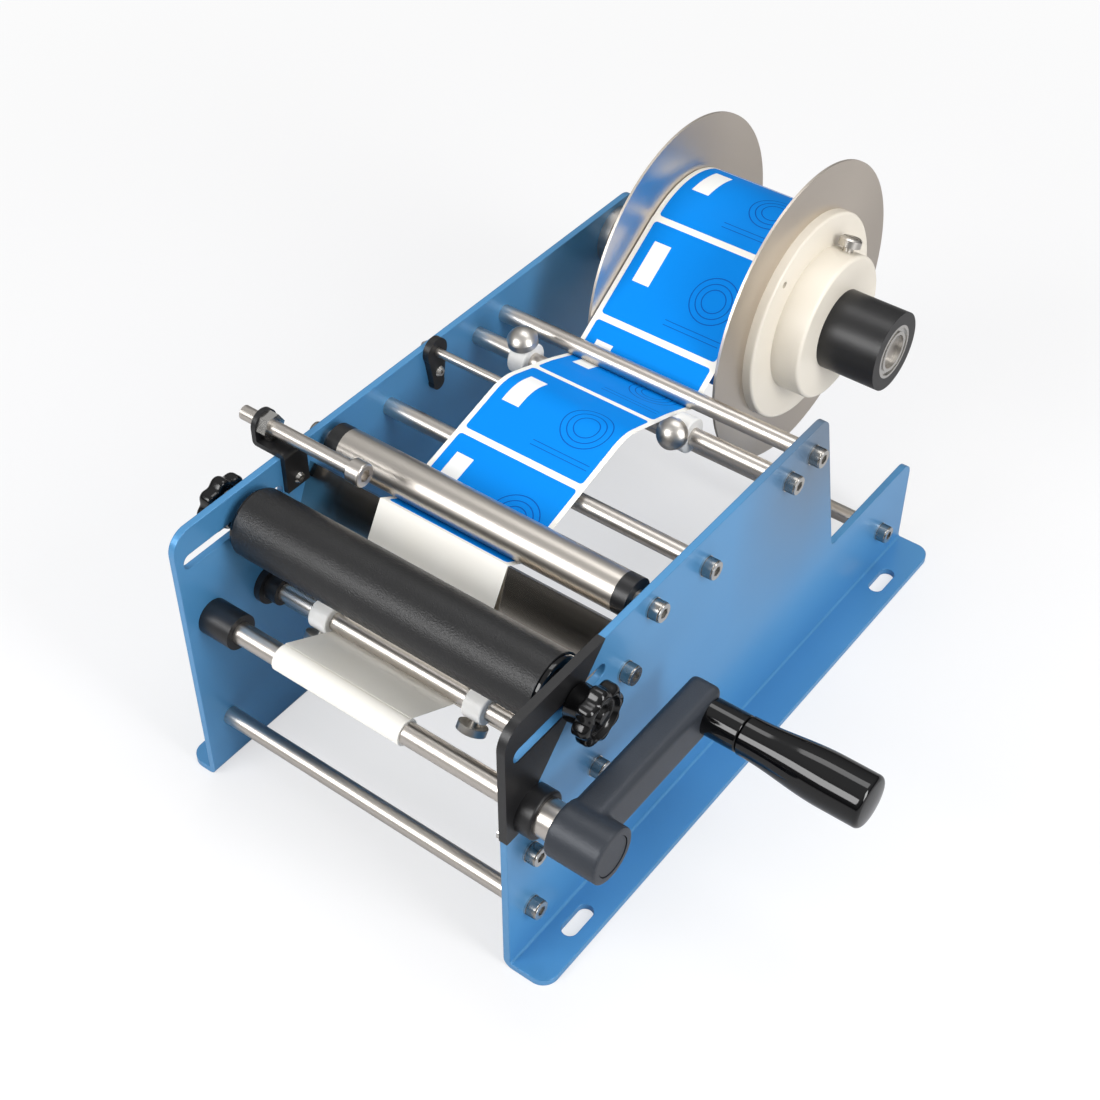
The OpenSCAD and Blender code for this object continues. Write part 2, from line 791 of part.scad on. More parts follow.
module spindle_bolt() color(steel) difference() {
    union() {
        bar(-out_x, -in_x + spindle_reach, reel_at, spindle_bolt_d);
        bar(-out_x - spindle_bolt_d, -out_x, reel_at, spindle_bolt_head_d);
    }
    translate([-out_x - spindle_bolt_d - over, reel_at[0], reel_at[1]]) rotate([0, 90, 0])
        cylinder(h = spindle_bolt_socket_h + over, d = spindle_bolt_socket / cos(30), $fn = 6);
}

// Mandrel that turns on the spindle, with a bush in each end
module mandrel() color(black) difference() {
    tube(mandrel_x0, mandrel_x1, reel_at, mandrel_d, mandrel_bore);
    bar(mandrel_x0 - over, mandrel_x0 + bush_w, reel_at, bush_d + 2 * hole_fit);
    bar(mandrel_x1 - bush_w, mandrel_x1 + over, reel_at, bush_d + 2 * hole_fit);
}

module reel_bushes() color(steel) {
    bore = spindle_d / 2 + run_fit;
    for (x = [mandrel_x0, mandrel_x1 - bush_w]) turned(reel_at) difference() {
        translate([bore, x]) square([bush_d / 2 - bore, bush_w]);
        for (end = [x - over, x + bush_w - over])
            translate([bush_groove_r, end]) square([bush_groove_w, 2 * over]);
    }
}

// Reel hub outside its disc: spigot into the core, flange, boss, drawn for the right side
module reel_hub(bore) turned(reel_at) {
    x = outer_disc_x;
    translate([bore / 2, x - hub_spigot_len]) square([(hub_spigot_d - bore) / 2, hub_spigot_len + disc_t]);
    difference() {
        translate([bore / 2, x + disc_t]) square([(hub_flange_d - bore) / 2, hub_flange_t]);
        translate([hub_flange_d / 2, x + disc_t + hub_flange_t]) corner_waste(1.5);
    }
    difference() {
        translate([bore / 2, x + disc_t]) square([(hub_boss_d - bore) / 2, hub_len_all - disc_t]);
        translate([hub_boss_d / 2, x + hub_len_all]) corner_waste(2);
    }
}

// Reel disc drawn for the right side
module reel_disc() tube(outer_disc_x, outer_disc_x + disc_t, reel_at, disc_d, hub_spigot_d + 2 * hole_fit);

// Shifted mirror image that puts a right-side reel piece on the left side of the roll
module left_of_roll() {
    translate([-2 * web_offset, 0, 0]) mirror([1, 0, 0]) children();
}

module inner_disc() color(steel) left_of_roll() reel_disc();
module outer_disc() color(steel) reel_disc();
module inner_hub() color(cream) left_of_roll() reel_hub(mandrel_d + 2 * hole_fit);

// Radial hole or screw axis on the outer hub, at an angle from the rear
module hub_radial(x, angle) {
    translate([x, reel_at[0], reel_at[1]]) rotate([angle - 90, 0, 0]) children();
}

module outer_hub() color(cream) difference() {
    reel_hub(mandrel_d + 2 * run_fit);
    hub_radial(hub_screw_x, hub_screw_turn) cylinder(h = hub_boss_d, d = hub_screw_d + 2 * run_fit);
    bar(outer_disc_x, outer_disc_x + disc_t + hub_flange_t + over, hub_hole_at, hub_hole_d);
}

// Slotted thumb screw that locks the outer hub on the mandrel
module hub_screw() color(steel) hub_radial(hub_screw_x, hub_screw_turn) difference() {
    low = mandrel_d / 2 + tip_gap;
    head = hub_boss_d / 2 + hub_screw_neck;
    top = head + hub_screw_head_h;
    rotate_extrude() polygon([[0, low], [hub_screw_d / 2, low], [hub_screw_d / 2, head],
        [hub_screw_head_d / 2, head], [hub_screw_head_d / 2, top - 1], [hub_screw_head_d / 2 - 1, top],
        [0, top]]);
    translate([-hub_screw_head_d, -hub_screw_slot / 2, top - hub_screw_slot])
        cube([2 * hub_screw_head_d, hub_screw_slot, 2 * hub_screw_slot]);
}

module label_core() color(card) tube(web_x0, web_x1, reel_at, core_out, core_in);
module label_roll() color(label) tube(web_x0, web_x1, reel_at, roll_d, core_out + 2 * hole_fit);

// Web path: circles as [centre, radius, +1 over or -1 under], from the roll to the wound liner
web_stops = [
    [reel_at, roll_d / 2 + spin_gap, 1],
    [entry_rod_at, rod_d / 2 + fixed_gap, -1],
    [collar_rod_at, rod_d / 2 + fixed_gap, 1],
    [thin_rod_at + [0, thin_rod_d / 2 - paper_r], paper_r + fixed_gap, 1],
    [feed_at, feed_d / 2 + spin_gap, -1],
    [peel_edge, fixed_gap, 1],
    [liner_rod_at, rod_d / 2 + fixed_gap, -1],
    [shaft_at, wound_d / 2 + spin_gap, 1]];
web_last = len(web_stops) - 1;

// Signed radius of the web's middle on a stop, heading of the straight run that leaves it
function stop_r(k) = web_stops[k][2] * (web_stops[k][1] + web_t / 2);
function run_base(d) = (atan2(d[1], d[0]) + 360) % 360;
function run_angle(k) = let (d = web_stops[k + 1][0] - web_stops[k][0])
    run_base(d) + asin((stop_r(k) - stop_r(k + 1)) / norm(d));

// Points along one face of the web, shifted from its middle by half its thickness
function face_point(k, angle, shift) = web_stops[k][0] + (stop_r(k) + shift) * [sin(angle), -cos(angle)];
function stop_points(k, shift) =
    let (a0 = k == 0 ? run_angle(0) : run_angle(k - 1),
        a1 = k == web_last ? run_angle(k - 1) : run_angle(k),
        n = max(1, ceil(abs(a1 - a0) / 6)))
    [for (i = [0:n]) face_point(k, a0 + (a1 - a0) * i / n, shift)];
function face_points(shift) = [for (k = [0:web_last]) each stop_points(k, shift)];
function reversed(list) = [for (i = [len(list) - 1:-1:0]) list[i]];

module label_web() color(label) along_x(web_x0, web_w)
    polygon(concat(face_points(web_t / 2), reversed(face_points(-web_t / 2))));

// Bottle stop: bracket profile in X and Z, cut square, with the tab rounded round the rod
module stop_bracket() color(black) difference() {
    union() {
        translate([0, stop_at[0] + strip_w / 2, 0]) rotate([90, 0, 0]) linear_extrude(strip_w) {
            difference() {
                translate([-in_x, plate_h - strip_leg]) square([strip_t, strip_leg + strip_t]);
                translate([-in_x + strip_t, plate_h + strip_t]) corner_waste(strip_t);
            }
            difference() {
                translate([tab_x, plate_h]) square([-in_x - tab_x, strip_t]);
                translate([tab_x, plate_h]) rotate(180) corner_waste(strip_t - 0.5);
            }
        }
        along_x(tab_x, strip_t) {
            translate(stop_at) circle(d = strip_w);
            translate([stop_at[0] - strip_w / 2, plate_h + strip_t])
                square([strip_w, stop_at[1] - plate_h - strip_t]);
        }
    }
    bar(tab_x - over, tab_x + strip_t + over, stop_at, stop_d + 2 * run_fit);
    bar(-in_x - over, -in_x + strip_t + over, stop_screw, small_d + 2 * hole_fit);
}

module stop_nut() color(steel) difference() {
    translate([tab_x + strip_t, stop_at[0], stop_at[1]]) rotate([0, 90, 0]) rotate(30)
        cylinder(h = stop_nut_h, d = stop_nut_af / cos(30), $fn = 6);
    bar(tab_x, tab_x + strip_t + stop_nut_h + over, stop_at, stop_d + 2 * run_fit);
}

module stop_rod() color(steel) difference() {
    union() {
        bar(stop_x0, stop_x0 + stop_len, stop_at, stop_d);
        turned(stop_at) difference() {
            translate([0, stop_x0 + stop_len - stop_head_h]) square([stop_head_d / 2, stop_head_h]);
            translate([stop_head_d / 2, stop_x0 + stop_len]) corner_waste(1);
        }
    }
    translate([stop_x0 + stop_len - stop_socket_h, stop_at[0], stop_at[1]]) rotate([0, 90, 0])
        cylinder(h = stop_socket_h + over, d = stop_socket / cos(30), $fn = 6);
}

// Guide collar round a rod, with a radial hole for its thumb screw at an angle from the rear
module guide_collar(x, at, d, w, angle) difference() {
    turned(at) difference() {
        translate([rod_d / 2 + run_fit, x - w / 2]) square([(d - rod_d) / 2 - run_fit, w]);
        translate([d / 2, x + w / 2]) corner_waste(1);
        translate([d / 2, x - w / 2]) rotate(-90) corner_waste(1);
    }
    translate([x, at[0], at[1]]) rotate([angle - 90, 0, 0]) cylinder(h = d, d = thumb_d + 2 * run_fit);
}

// Thumb screw in a guide collar: shank and domed head, given as its diameter, rim height and dome height
module thumb_screw(x, at, d, angle, head)
    translate([x, at[0], at[1]]) rotate([angle - 90, 0, 0]) rotate_extrude() {
        low = rod_d / 2 + tip_gap;
        seat = d / 2 + thumb_neck;
        rim = head[0] / 2;
        top = seat + head[1];
        dome_r = (rim ^ 2 + head[2] ^ 2) / (2 * head[2]);
        polygon([[0, low], [thumb_d / 2, low], [thumb_d / 2, seat], [rim, seat], [rim, top], [0, top]]);
        intersection() {
            translate([0, top + head[2] - dome_r]) circle(dome_r);
            translate([0, top]) square([rim, head[2]]);
        }
    }

module collar_left() color(white)
    guide_collar(collar_x_left, collar_rod_at, collar_d, collar_w, collar_turn_left);
module collar_right() color(white)
    guide_collar(collar_x_right, collar_rod_at, collar_d, collar_w, collar_turn_right);
module collar_screw_left() color(steel)
    thumb_screw(collar_x_left, collar_rod_at, collar_d, collar_turn_left, collar_thumb);
module collar_screw_right() color(steel)
    thumb_screw(collar_x_right, collar_rod_at, collar_d, collar_turn_right, collar_thumb);
module liner_collar_left() color(white)
    guide_collar(liner_collar_x_left, liner_rod_at, liner_collar_d, liner_collar_w, liner_turn);
module liner_collar_right() color(white)
    guide_collar(liner_collar_x_right, liner_rod_at, liner_collar_d, liner_collar_w, liner_turn);
module liner_screw_left() color(steel)
    thumb_screw(liner_collar_x_left, liner_rod_at, liner_collar_d, liner_turn, liner_thumb);
module liner_screw_right() color(steel)
    thumb_screw(liner_collar_x_right, liner_rod_at, liner_collar_d, liner_turn, liner_thumb);

// Origin at the middle of the right foot's underside
module placed() translate([-(out_x + right_foot_w / 2), 0, 0]) children();

placed() right_plate();
placed() left_plate();
placed() corner_guard();
placed() front_tie_rod();
placed() table_rod();
placed() collar_rod();
placed() entry_rod();
placed() rear_tie_rod();
placed() liner_rod();
placed() liner_rod_bushes();
placed() thin_guide_rod();
placed() guide_bracket();
placed() small_screws();
placed() feed_axle();
placed() peel_plate();
placed() cap_screws();
placed() washers();
placed() right_bearing();
placed() left_bearing();
placed() reel_spindle();
placed() spindle_bolt();
placed() stop_bracket();
placed() stop_nut();
placed() label_web();
placed() crank_shaft();
placed() shaft_boss();
placed() crank_arm();
placed() hub_cap();
placed() grip_pin();
placed() grip_collar();
placed() wound_liner();
placed() grip();
placed() feed_tube();
placed() feed_caps();
placed() press_axle();
placed() press_washers();
placed() press_rubber();
placed() press_core();
placed() press_caps();
placed() right_knob();
placed() left_knob();
placed() mandrel();
placed() inner_disc();
placed() inner_hub();
placed() label_core();
placed() label_roll();
placed() reel_bushes();
placed() outer_disc();
placed() outer_hub();
placed() hub_screw();
placed() stop_rod();
placed() collar_left();
placed() collar_right();
placed() collar_screw_left();
placed() collar_screw_right();
placed() liner_collar_left();
placed() liner_collar_right();
placed() liner_screw_left();
placed() liner_screw_right();
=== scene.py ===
# %% [markdown]
# A hand-cranked bench labelling machine. Two blue side plates carry a set of steel rods and rollers. Labels
# come off the reel at the rear, turn sharply over a peel plate so that they leave their backing, and roll
# onto a bottle that lies between the black press roller and the steel feed roller. The crank winds up the
# backing. The exact solids come from the CAD frame, so this file gives finishes, light and the soft or fine
# pieces. The frame's origin is under the right foot, X runs out along the crank shaft and Z is up.

# %% Load the frame
import bpy, math
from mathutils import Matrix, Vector


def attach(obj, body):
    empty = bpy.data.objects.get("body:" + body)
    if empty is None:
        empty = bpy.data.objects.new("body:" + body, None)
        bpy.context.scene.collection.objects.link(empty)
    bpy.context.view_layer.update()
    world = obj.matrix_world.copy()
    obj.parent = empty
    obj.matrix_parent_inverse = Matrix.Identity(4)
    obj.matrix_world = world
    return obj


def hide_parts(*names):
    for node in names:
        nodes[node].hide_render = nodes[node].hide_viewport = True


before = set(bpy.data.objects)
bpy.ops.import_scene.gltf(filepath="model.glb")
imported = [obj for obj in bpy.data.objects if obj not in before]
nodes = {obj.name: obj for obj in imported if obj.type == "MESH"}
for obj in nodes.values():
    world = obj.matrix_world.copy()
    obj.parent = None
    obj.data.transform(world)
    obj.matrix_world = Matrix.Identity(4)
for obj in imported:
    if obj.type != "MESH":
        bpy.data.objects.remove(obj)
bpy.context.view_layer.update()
MM = 0.001

# %% [markdown]
# New pieces have to meet the solids, so their places are read from the solids. A solid's box has eight
# corners. Most pieces here are round about a line along X, and the middle of the box gives that line. MID is
# the X halfway between the two plates.

# %% Places read from the solids
def ends_of(name):
    """Lowest and highest X of a solid, in mm."""
    reach = [corner[0] / MM for corner in nodes[name].bound_box]
    return round(min(reach), 1), round(max(reach), 1)


def axis_of(name):
    """Y and Z of the axis of a solid that is round about a line along X, in mm."""
    sides = [[corner[k] / MM for corner in nodes[name].bound_box] for k in (1, 2)]
    return tuple(round((min(side) + max(side)) / 2, 1) for side in sides)


MID = sum(ends_of("front_tie_rod")) / 2
REEL, SHAFT, PRESS = axis_of("label_roll"), axis_of("crank_shaft"), axis_of("press_axle")
print("middle", MID, "reel axis", REEL, "crank axis", SHAFT, "press axis", PRESS)

# %% [markdown]
# Colours are picked as sRGB hex values, the way a paint card gives them. Blender's shaders work in linear
# light, so one function converts them. One more adds a shader node with its settings and links, and a third
# starts a material with the numbers that hold all over it.

# %% Colour and node helpers
def colour(hex_code):
    parts = [int(hex_code[i:i + 2], 16) / 255 for i in (1, 3, 5)]
    return [c / 12.92 if c <= 0.04045 else ((c + 0.055) / 1.055) ** 2.4 for c in parts] + [1.0]


def add(tree, kind, settings=None, links=None):
    node = tree.nodes.new(kind)
    for name, value in (settings or {}).items():
        if isinstance(name, int) or name in node.inputs:
            node.inputs[name].default_value = value
        else:
            setattr(node, name, value)
    for name, socket in (links or {}).items():
        tree.links.new(socket, node.inputs[name])
    return node


def finish_named(name, **sockets):
    material = bpy.data.materials.new(name)
    material.use_nodes = True
    tree = material.node_tree
    shader = tree.nodes["Principled BSDF"]
    for socket, value in sockets.items():
        shader.inputs[socket.replace("_", " ")].default_value = value
    return material, tree, shader


# %% [markdown]
# The side plates are sheet steel with a glossy, slightly metallic blue paint. Sprayed paint is never quite
# flat: it has a faint orange-peel wave a few millimetres long, and the flakes give a soft change in depth. On
# the right plate the blue is mixed softly towards grey at the upper rear corner. This is a painted reflection
# of dark surroundings in the gloss, not a change in the paint. Sheet edges are broken before painting,
# so a Bevel node rounds them by just under a millimetre where the light meets them.

# %% Blue paint
DRIFTS_PER_METRE, PEEL_WAVE_MM, BROKEN_EDGE_MM = 14.0, 3.5, 0.9
blue_paint, tree, shader = finish_named("metallic_blue_satin_paint", Metallic=0.3, Roughness=0.36,
                                        Coat_Weight=0.35, Coat_Roughness=0.16)
where = add(tree, "ShaderNodeTexCoord").outputs["Object"]
drift = add(tree, "ShaderNodeTexNoise", {"Scale": DRIFTS_PER_METRE, "Detail": 2.0}, {"Vector": where})
tint = add(tree, "ShaderNodeMix", {"data_type": "RGBA", 6: colour("#4A8EC3"), 7: colour("#5799CC")},
           {"Factor": drift.outputs["Fac"]})
axes = add(tree, "ShaderNodeSeparateXYZ", links={"Vector": where})
# Painted reflection: on the right plate alone, the blue is mixed towards grey #67727F further back and higher
# up. This stands in for dark surroundings mirrored in the gloss.
reflection_rearward = add(tree, "ShaderNodeMapRange", {"From Min": -10 * MM, "From Max": 65 * MM},
               {"Value": axes.outputs["Y"]})
upward = add(tree, "ShaderNodeMapRange", {"From Min": 60 * MM, "From Max": 150 * MM, "To Max": 0.8},
             {"Value": axes.outputs["Z"]})
corner = add(tree, "ShaderNodeMath", {"operation": "MULTIPLY"},
             {0: reflection_rearward.outputs["Result"], 1: upward.outputs["Result"]})
reflection_right_plate = add(tree, "ShaderNodeMath", {"operation": "GREATER_THAN", 1: MID * MM}, {0: axes.outputs["X"]})
painted_reflection_share = add(tree, "ShaderNodeMath", {"operation": "MULTIPLY"},
            {0: corner.outputs[0], 1: reflection_right_plate.outputs[0]})
# This mix puts the painted reflection's grey into the base colour.
fade = add(tree, "ShaderNodeMix", {"data_type": "RGBA", 7: colour("#67727F")},
           {"Factor": painted_reflection_share.outputs[0], 6: tint.outputs[2]})
tree.links.new(fade.outputs[2], shader.inputs["Base Color"])
peel_wave = add(tree, "ShaderNodeTexNoise", {"Scale": 1 / (PEEL_WAVE_MM * MM), "Detail": 1.0},
                {"Vector": where})
edge = add(tree, "ShaderNodeBevel", {"samples": 4, "Radius": BROKEN_EDGE_MM * MM})
bump = add(tree, "ShaderNodeBump", {"Strength": 0.05, "Distance": 0.2 * MM},
           {"Height": peel_wave.outputs["Fac"], "Normal": edge.outputs["Normal"]})
tree.links.new(bump.outputs["Normal"], shader.inputs["Normal"])
tree.links.new(bump.outputs["Normal"], shader.inputs["Coat Normal"])
print("made", blue_paint.name)

# %% [markdown]
# Rods, rollers and shafts are drawn stainless bar. Drawing leaves lines along the bar, so the highlight
# looks streaked: the pattern is noise that changes slowly along X and quickly across it. Real lines are
# hundredths of a millimetre wide, so they are drawn about two millimetres wide to show. Screws are turned and
# plated, and their noise is even in all directions.

# %% Drawn stainless bar
EVEN_MM = 2.5


def lined_steel(name, hex_code, rough, line_mm, length_mm=EVEN_MM):
    material, tree, shader = finish_named(name, Metallic=1.0, Base_Color=colour(hex_code))
    stretch = [1 / (length_mm * MM), 1 / (line_mm * MM), 1 / (line_mm * MM)]
    place = add(tree, "ShaderNodeTexCoord").outputs["Object"]
    where = add(tree, "ShaderNodeMapping", {"Scale": stretch}, {"Vector": place})
    lines = add(tree, "ShaderNodeTexNoise", {"Scale": 1.0, "Detail": 0.0},
                {"Vector": where.outputs["Vector"]})
    ramp = add(tree, "ShaderNodeMapRange", {"To Min": rough * 0.88, "To Max": rough * 1.12},
               {"Value": lines.outputs["Fac"]})
    tree.links.new(ramp.outputs["Result"], shader.inputs["Roughness"])
    return material


rod_steel = lined_steel("drawn_stainless_bar", "#CFC9C2", 0.33, 2.2, 1000 / 3)
roller_steel = lined_steel("brushed_stainless_tube", "#CBC5BD", 0.34, 2.4, 250)
peel_steel = lined_steel("polished_peel_plate", "#C4BEB6", 0.2, 2.0, 250)
screw_steel = lined_steel("plated_screw_steel", "#D4D2CE", 0.24, EVEN_MM)
knurl_steel = lined_steel("knurled_screw_steel", "#A8A49E", 0.26, EVEN_MM)
thumb_steel = lined_steel("satin_turned_steel", "#C8C4BE", 0.36, EVEN_MM)
print("made six steel finishes")

# %% [markdown]
# The reel discs are spun stainless sheet: the brush runs round the disc's centre, so the noise reads the
# distance from the reel's axis. A little anisotropy turns the highlight into the usual bright wedge. The
# rings are drawn 0.4 mm wide, coarser than real brush marks, so that they show.

# %% Brushed discs
RING_MM = 0.4
disc_steel, tree, shader = finish_named("spun_stainless_disc", Metallic=1.0, Base_Color=colour("#D8CFC4"),
                                        Anisotropic=0.5)
place = add(tree, "ShaderNodeTexCoord").outputs["Object"]
where = add(tree, "ShaderNodeMapping", {"Location": (0, -REEL[0] * MM, -REEL[1] * MM)}, {"Vector": place})
axes = add(tree, "ShaderNodeSeparateXYZ", links={"Vector": where.outputs["Vector"]})
flat = add(tree, "ShaderNodeCombineXYZ", links={"Y": axes.outputs["Y"], "Z": axes.outputs["Z"]})
radius = add(tree, "ShaderNodeVectorMath", {"operation": "LENGTH"}, {"Vector": flat.outputs["Vector"]})
ring_noise = {"noise_dimensions": "1D", "Scale": 1 / (RING_MM * MM), "Detail": 4.0}
rings = add(tree, "ShaderNodeTexNoise", ring_noise, {"W": radius.outputs["Value"]})
ramp = add(tree, "ShaderNodeMapRange", {"To Min": 0.33, "To Max": 0.46}, {"Value": rings.outputs["Fac"]})
tree.links.new(ramp.outputs["Result"], shader.inputs["Roughness"])
bump = add(tree, "ShaderNodeBump", {"Strength": 0.06, "Distance": 0.05 * MM},
           {"Height": rings.outputs["Fac"]})
tree.links.new(bump.outputs["Normal"], shader.inputs["Normal"])
round_axis = add(tree, "ShaderNodeTangent", {"direction_type": "RADIAL", "axis": "X"})
tree.links.new(round_axis.outputs["Tangent"], shader.inputs["Tangent"])
print("made", disc_steel.name)

# %% [markdown]
# Plastics, rubber and coatings share one recipe: a base colour that drifts a little, a grain of a stated size
# in millimetres, and a roughness of their own. Ground rubber has a fine tooth and no shine. Coated sheet is
# satin, moulded phenolic mirrors the lamps, the cast arm is blasted and slightly rough, and acetal hubs look
# waxy. The liner is smooth pale paper and the roll's core is dull board.

# %% Moulded and coated finishes
TINTS_PER_METRE = 30.0


def grained(name, dark, light, rough, grain_mm, depth, relief=0.15, **sockets):
    material, tree, shader = finish_named(name, **sockets)
    where = add(tree, "ShaderNodeTexCoord").outputs["Object"]
    grain = add(tree, "ShaderNodeTexNoise", {"Scale": 1 / (grain_mm * MM), "Detail": 2.0}, {"Vector": where})
    slow = add(tree, "ShaderNodeTexNoise", {"Scale": TINTS_PER_METRE, "Detail": 2.0}, {"Vector": where})
    tint = add(tree, "ShaderNodeMix", {"data_type": "RGBA", 6: colour(dark), 7: colour(light)},
               {"Factor": slow.outputs["Fac"]})
    tree.links.new(tint.outputs[2], shader.inputs["Base Color"])
    ramp = add(tree, "ShaderNodeMapRange", {"To Min": rough * 0.85, "To Max": rough * 1.15},
               {"Value": grain.outputs["Fac"]})
    tree.links.new(ramp.outputs["Result"], shader.inputs["Roughness"])
    bump = add(tree, "ShaderNodeBump", {"Strength": depth, "Distance": relief * MM},
               {"Height": grain.outputs["Fac"]})
    tree.links.new(bump.outputs["Normal"], shader.inputs["Normal"])
    return material


rubber = grained("grained_black_rubber", "#151516", "#1D1D1E", 0.4, 0.75, 1.0, relief=0.22)
black_coat = grained("satin_black_coating", "#151516", "#1D1D1F", 0.38, 0.5, 0.15)
black_gloss = grained("glossy_black_phenolic", "#050506", "#08080A", 0.07, 2.0, 0.01)
black_moulded = grained("moulded_black_phenolic", "#060607", "#0A0A0B", 0.17, 2.0, 0.01)
cast_grey = grained("satin_grey_cast_alloy", "#2C3037", "#373C44", 0.42, 0.6, 0.6, Metallic=0.2)
cream = grained("cream_acetal", "#E2DACB", "#EAE3D6", 0.36, 1.2, 0.05)
white = grained("white_acetal", "#E2E1DD", "#ECEBE8", 0.38, 1.0, 0.06)
liner_paper = grained("glassine_liner", "#F8F4EA", "#FCFAF4", 0.5, 1.5, 0.1)
card = grained("grey_board_tube", "#8C7A62", "#A08D73", 0.8, 0.7, 0.4)
print("made nine moulded, coated and paper finishes")

# %% [markdown]
# Each solid takes the finish of the real piece it stands for.

# %% Finishes on the solids
finish_of = {
    blue_paint: ["right_plate", "left_plate"],
    rod_steel: ["front_tie_rod", "table_rod", "collar_rod", "entry_rod", "rear_tie_rod", "liner_rod",
                "thin_guide_rod", "feed_axle", "crank_shaft", "shaft_boss", "grip_pin", "press_axle",
                "press_core", "reel_spindle", "stop_rod"],
    roller_steel: ["feed_tube"],
    peel_steel: ["peel_plate"],
    screw_steel: ["small_screws", "cap_screws", "spindle_bolt", "stop_nut", "reel_bushes", "washers"],
    thumb_steel: ["hub_screw", "collar_screw_left", "collar_screw_right", "liner_screw_left",
                  "liner_screw_right"],
    disc_steel: ["inner_disc", "outer_disc"],
    rubber: ["press_rubber"],
    black_coat: ["corner_guard", "liner_rod_bushes", "guide_bracket", "right_bearing", "left_bearing",
                 "stop_bracket", "press_washers", "mandrel", "feed_caps"],
    black_gloss: ["grip", "grip_collar", "press_caps"],
    black_moulded: ["right_knob", "left_knob"],
    cast_grey: ["crank_arm", "hub_cap"],
    cream: ["inner_hub", "outer_hub"],
    white: ["collar_left", "collar_right", "liner_collar_left", "liner_collar_right"],
    card: ["label_core"],
    liner_paper: ["wound_liner", "label_web", "label_roll"],
}
for material, names in finish_of.items():
    for name in names:
        solid = nodes[name]
        solid.data.materials.clear()
        solid.data.materials.append(material)
print("finished", sum(len(v) for v in finish_of.values()), "solids")

# %% [markdown]
# The web is one long strip: a pale release liner with labels stuck on its upper face. It leaves the roll,
# dips under the entry rod, climbs over the collar rod and in a wide bend over the thin rod, goes under the
# feed roller and turns back at the peel edge, where the labels come off and the liner goes on alone to the
# crank. It is a belt round circles, so the straight runs are common tangents. The strip could be a bevelled
# curve, but rows laid step by step along the path keep the lengths true, and the labels need those.

# %% Path of the web
WEB_LEFT, WEB_RIGHT = ends_of("label_web")
WEB_T, LINER_T = 0.4, 0.2
OVER, UNDER = 1, -1
ROLL_R, ROD_R, THIN_R, FEED_R, WOUND_R = 58.0, 5.0, 2.5, 11.0, 7.25
REST, SPIN_GAP = 0.05, 0.35
PAPER_BEND = 30.0
PEEL_EDGE = (-98.2, 161.0)
thin_y, thin_z = axis_of("thin_guide_rod")
web_stops = [(REEL, ROLL_R + SPIN_GAP, OVER),
             (axis_of("entry_rod"), ROD_R + REST, UNDER),
             (axis_of("collar_rod"), ROD_R + REST, OVER),
             ((thin_y, thin_z + THIN_R - PAPER_BEND), PAPER_BEND + REST, OVER),
             (axis_of("feed_tube"), FEED_R + SPIN_GAP, UNDER),
             (PEEL_EDGE, REST, OVER),
             (axis_of("liner_rod"), ROD_R + REST, UNDER),
             (SHAFT, WOUND_R + SPIN_GAP, OVER)]


def run_heading(first, second):
    """Heading of the straight run that touches two stops."""
    (y0, z0), r0, side0 = first
    (y1, z1), r1, side1 = second
    lean = math.asin((side0 * r0 - side1 * r1) / math.hypot(y1 - y0, z1 - z0))
    return math.atan2(z1 - z0, y1 - y0) % (2 * math.pi) + lean


headings = [run_heading(a, b) for a, b in zip(web_stops, web_stops[1:])]
web_path = []
for index, ((y, z), r, side) in enumerate(web_stops):
    start = headings[max(index - 1, 0)]
    end = headings[min(index, len(headings) - 1)]
    steps = math.ceil(abs(end - start) / math.radians(5))
    for i in range(steps + 1):
        heading = start + (end - start) * i / max(steps, 1)
        up = Vector((0, math.sin(heading), -math.cos(heading)))
        reach = side * (r + WEB_T / 2) - LINER_T / 2
        web_path.append((Vector((0, y, z)) + up * reach, up))
far_along = [0.0]
for (a, _), (b, _) in zip(web_path, web_path[1:]):
    far_along.append(far_along[-1] + (b - a).length)
off_edge = [(place - Vector((0, *PEEL_EDGE))).length for place, _ in web_path]
peel_at = off_edge.index(min(off_edge))
print("web length", round(far_along[-1]), "mm, peel edge at", round(far_along[peel_at]), "mm")

# %% [markdown]
# A strip starts as a flat grid with one row for each step of the path, and its rows are then laid on the
# path. Its UV map keeps the flat sheet: U is the place across the web and V the length along it, where 1 is
# 100 mm, so a printed design follows the bends without stretching. Solidify gives it the thickness of paper.

# %% Strip maker
FLAT_MM = 0.01


def strip(name, rows, thick, body, material):
    bpy.ops.object.select_all(action="DESELECT")
    bpy.ops.mesh.primitive_grid_add(x_subdivisions=1, y_subdivisions=len(rows) - 1, size=1.0)
    piece = bpy.context.object
    piece.name = name
    where = {}
    for vert in piece.data.vertices:
        place, up, left, right, along = rows[round((vert.co.y + 0.5) * (len(rows) - 1))]
        x = right if vert.co.x > 0 else left
        vert.co = Vector((x, place.y, place.z)) * MM
        where[vert.index] = ((x - MID) * FLAT_MM, along * FLAT_MM)
    flat_map = piece.data.uv_layers[0]
    for loop in piece.data.loops:
        flat_map.data[loop.index].uv = where[loop.vertex_index]
    first = piece.data.polygons[0]
    if first.normal.dot(rows[0][1]) < 0:
        piece.data.flip_normals()
    paper = piece.modifiers.new("paper", "SOLIDIFY")
    paper.thickness = thick * MM
    paper.offset = -1.0
    bpy.ops.object.modifier_apply(modifier="paper")
    bpy.ops.object.shade_smooth_by_angle(angle=math.radians(40))
    piece.data.materials.append(material)
    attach(piece, body)
    return piece


def path_point(along):
    """Point and upward normal of the liner's middle at a length along the path, in mm."""
    along = min(max(along, 0.0), far_along[-1])
    k = max(i for i in range(len(far_along)) if far_along[i] <= along)
    k = min(k, len(far_along) - 2)
    step = far_along[k + 1] - far_along[k]
    part = 0.0 if step == 0 else (along - far_along[k]) / step
    (a, up_a), (b, up_b) = web_path[k], web_path[k + 1]
    return a.lerp(b, part), up_a.lerp(up_b, part).normalized()


